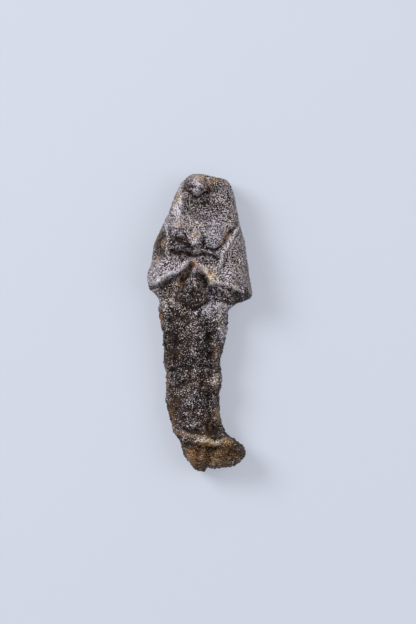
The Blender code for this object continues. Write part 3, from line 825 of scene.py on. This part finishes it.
def worked(tree, operation, *values):
    """Result of a sum on values that are numbers or other nodes' outputs."""
    node = add_node(tree, "ShaderNodeMath", operation=operation)
    for socket, value in zip(node.inputs, values):
        fill(tree, socket, value)
    return node.outputs[0]


def mixed(tree, share, first, second):
    """Colour between two, each of which is a colour or another node's output."""
    node = add_node(tree, "ShaderNodeMix", {"Factor": share}, data_type="RGBA")
    fill(tree, node.inputs[MIX_FIRST], first)
    fill(tree, node.inputs[MIX_SECOND], second)
    return node.outputs[MIX_RESULT]


def pressed_beeswax(settings):
    """Hand-pressed beeswax, darkened with resin and dusted with bloom.

    The eye gets a nearly black, faintly glossy body that turns brown and amber where it is thin or rubbed.
    Over it lies a pepper of pale matt grains that thickens on raised parts and thins in the hollows.
    Painted shade darkens the hollows, the sides and the undersides of the arms, and painted highlights
    lighten the rims and ridges.
    """
    material = bpy.data.materials.new("pressed_beeswax_with_resin_and_bloom")
    material.use_nodes = True
    tree = material.node_tree
    shader = tree.nodes["Principled BSDF"]
    place = add_node(tree, "ShaderNodeTexCoord").outputs["Object"]
    # The stored bloom carries painted highlights and painted shade besides the bloom itself, and sunk feeds
    # the painted shade of the hollows
    bloom, amber, cast, sunk = (stored(tree, name) for name in ("bloom", "amber", "cast", "sunk"))
    grain_scale = 1 / settings.grain_size
    mottle = noise_texture(
        tree, place, MOTTLE_SCALE * grain_scale, detail=3.0, roughness=0.6, distortion=0.6,
    )
    grain = noise_texture(tree, place, grain_scale, detail=1.0)

    # Brown wax shows through the resin in a slow mottle, and amber where the wax is thin or rubbed
    body = mixed(tree, spread(tree, mottle, *BROWN_FROM_TO), settings.resin, settings.wax)
    elsewhere = add_node(
        tree, "ShaderNodeMapping", {"Vector": place}, in_Location=AMBER_SHIFT,
    ).outputs["Vector"]
    amber_streaks = noise_texture(
        tree, elsewhere, AMBER_STREAK_SCALE * grain_scale, detail=2.0, roughness=0.7, distortion=1.6,
    )
    amber_patch = noise_texture(tree, elsewhere, AMBER_PATCH_SCALE * grain_scale, detail=1.0)
    amber_reach = worked(tree, "MULTIPLY_ADD", amber, AMBER_REACH, amber_streaks)
    bare = spread(tree, worked(tree, "ADD", amber_reach, amber_patch), *BARE_FROM_TO)
    bare_amber = worked(tree, "MULTIPLY", amber, bare)
    warm = mixed(tree, bare_amber, body, settings.amber)

    # The bloom's own colour goes from violet over clean wax to cream over dirty wax
    pale_colour = mixed(tree, cast, settings.violet_bloom, settings.cream_bloom)
    thin_colour = mixed(tree, cast, settings.thin_violet_bloom, settings.thin_cream_bloom)

    # Bloom lies in patches of about 1.2 mm, broken up by grains of about 0.3 mm
    patchy = spread(tree, mottle, *NOISE_MIDDLE, -PATCHY_BLOOM, PATCHY_BLOOM, clamp=False)
    grainy = spread(tree, grain, *NOISE_MIDDLE, -GRAINY_BLOOM, GRAINY_BLOOM, clamp=False)
    thickness = worked(tree, "ADD", worked(tree, "ADD", bloom, patchy), grainy)
    veil = spread(tree, thickness, *VEIL_FROM_TO)
    pale = spread(tree, thickness, *PALE_FROM_TO)
    veiled = mixed(tree, veil, warm, thin_colour)
    # Amber shows through a thin veil, so the veil gives way where the wax is rubbed
    rubbed = mixed(tree, bare_amber, veiled, warm)
    surface = mixed(tree, pale, rubbed, pale_colour)

    # Painted shade: the hollows are darkened towards the resin colour
    shade = spread(tree, sunk, *SHADED_FROM_TO, 0.0, MOST_SHADE)
    tree.links.new(mixed(tree, shade, surface, settings.resin), shader.inputs["Base Color"])

    tree.links.new(spread(tree, pale, 0.0, 1.0, *ROUGHNESS_FROM_TO), shader.inputs["Roughness"])
    shader.inputs["IOR"].default_value = BEESWAX_IOR
    shader.inputs["Specular IOR Level"].default_value = WAX_GLOSS
    strength, distance = GRIT_BUMP
    grit = add_node(tree, "ShaderNodeBump", {"Height": grain}, in_Strength=strength, in_Distance=distance)
    strength, distance = GRAIN_BUMP
    grain_relief = add_node(
        tree, "ShaderNodeBump", {"Height": pale, "Normal": grit.outputs["Normal"]}, in_Strength=strength,
        in_Distance=distance,
    )
    tree.links.new(grain_relief.outputs["Normal"], shader.inputs["Normal"])
    return material


def opal_table(settings):
    """Opal acrylic sheet, cast and lit evenly from below.

    The eye gets a pale matt surface without a horizon that keeps the figure's shadow faint.
    """
    material = bpy.data.materials.new("cast_opal_acrylic")
    material.use_nodes = True
    shader = material.node_tree.nodes["Principled BSDF"]
    shader.inputs["Base Color"].default_value = settings.table
    shader.inputs["Roughness"].default_value = TABLE_ROUGHNESS
    shader.inputs["Specular IOR Level"].default_value = TABLE_GLOSS
    shader.inputs["Emission Color"].default_value = settings.table
    shader.inputs["Emission Strength"].default_value = settings.table_glow
    return material


class FALCON_OT_wax_figure(bpy.types.Operator):
    """Build the wax figure over its solid"""

    bl_idname = "falcon.wax_figure"
    bl_label = "Wax figure"

    def execute(self, context):
        settings = context.scene.wax_figure
        mesh = fine_skin(settings)
        carve(mesh, settings)
        mark_surface(mesh)
        mesh.shade_smooth()
        mesh.materials.clear()
        mesh.materials.append(pressed_beeswax(settings))
        figure = bpy.data.objects.new("wax_figure", mesh)
        context.scene.collection.objects.link(figure)
        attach(figure, "root")
        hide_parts(NODE)
        return {"FINISHED"}


def soft_light(name, power, size, place, target):
    """A square area light that looks at a point."""
    light = bpy.data.lights.new(name, "AREA")
    light.energy = power
    light.size = size
    lamp = bpy.data.objects.new(name, light)
    lamp.location = place
    lamp.rotation_euler = (Vector(target) - Vector(place)).to_track_quat("-Z", "Y").to_euler()
    bpy.context.scene.collection.objects.link(lamp)


def camera_above(lens):
    """A camera straight above that frames the figure as the photograph does."""
    pixel = FIGURE_LENGTH / FIGURE_PIXELS
    camera = bpy.data.cameras.new("camera")
    camera.sensor_fit = "VERTICAL"
    camera.sensor_height = SENSOR_HEIGHT
    camera.lens = lens
    distance = PHOTO_HEIGHT * pixel * camera.lens / camera.sensor_height
    eye = bpy.data.objects.new("camera", camera)
    eye.location = (
        (PHOTO_WIDTH / 2 - FIGURE_MIDDLE_PIXEL[0]) * pixel,
        (FIGURE_MIDDLE_PIXEL[1] - PHOTO_HEIGHT / 2) * pixel,
        distance + FIGURE_DEPTH / 2,
    )
    return eye


class FALCON_OT_studio(bpy.types.Operator):
    """Lay out the table, the lights and the camera"""

    bl_idname = "falcon.studio"
    bl_label = "Studio"

    def execute(self, context):
        settings = context.scene.studio
        bpy.ops.mesh.primitive_plane_add(size=TABLE_LENGTHS * FIGURE_LENGTH)
        table = context.active_object
        table.name = "table"
        table.data.materials.append(opal_table(settings))

        middle = (0.0, 0.0, FIGURE_DEPTH / 2)
        soft_light("key", settings.key_power, KEY_SIZE, KEY_PLACE, middle)
        soft_light("fill", settings.fill_power, FILL_SIZE, FILL_PLACE, middle)
        world = bpy.data.worlds.new("studio")
        world.use_nodes = True
        world.node_tree.nodes["Background"].inputs["Color"].default_value = colour(ROOM_COLOUR)
        world.node_tree.nodes["Background"].inputs["Strength"].default_value = settings.sky
        context.scene.world = world

        eye = camera_above(settings.lens)
        context.scene.collection.objects.link(eye)
        context.scene.camera = eye
        context.scene.view_settings.view_transform = "Standard"
        return {"FINISHED"}


class FALCON_PT_panel(bpy.types.Panel):
    """Sizes, colours and the two steps"""

    bl_label = "Wax figure"
    bl_space_type = "VIEW_3D"
    bl_region_type = "UI"
    bl_category = "Wax figure"

    def draw(self, context):
        layout = self.layout
        for settings in (context.scene.wax_figure, context.scene.studio):
            for name in settings.__annotations__:
                layout.prop(settings, name)
        for step in STEPS:
            layout.operator(step.bl_idname)


STEPS = (FALCON_OT_wax_figure, FALCON_OT_studio)
CLASSES = (WaxFigureSettings, StudioSettings, *STEPS, FALCON_PT_panel)


def register():
    for each in CLASSES:
        bpy.utils.register_class(each)
    bpy.types.Scene.wax_figure = PointerProperty(type=WaxFigureSettings)
    bpy.types.Scene.studio = PointerProperty(type=StudioSettings)


def unregister():
    del bpy.types.Scene.studio
    del bpy.types.Scene.wax_figure
    for each in reversed(CLASSES):
        bpy.utils.unregister_class(each)


def main():
    register()
    bpy.ops.falcon.wax_figure()
    bpy.ops.falcon.studio()


if __name__ == "__main__":
    main()
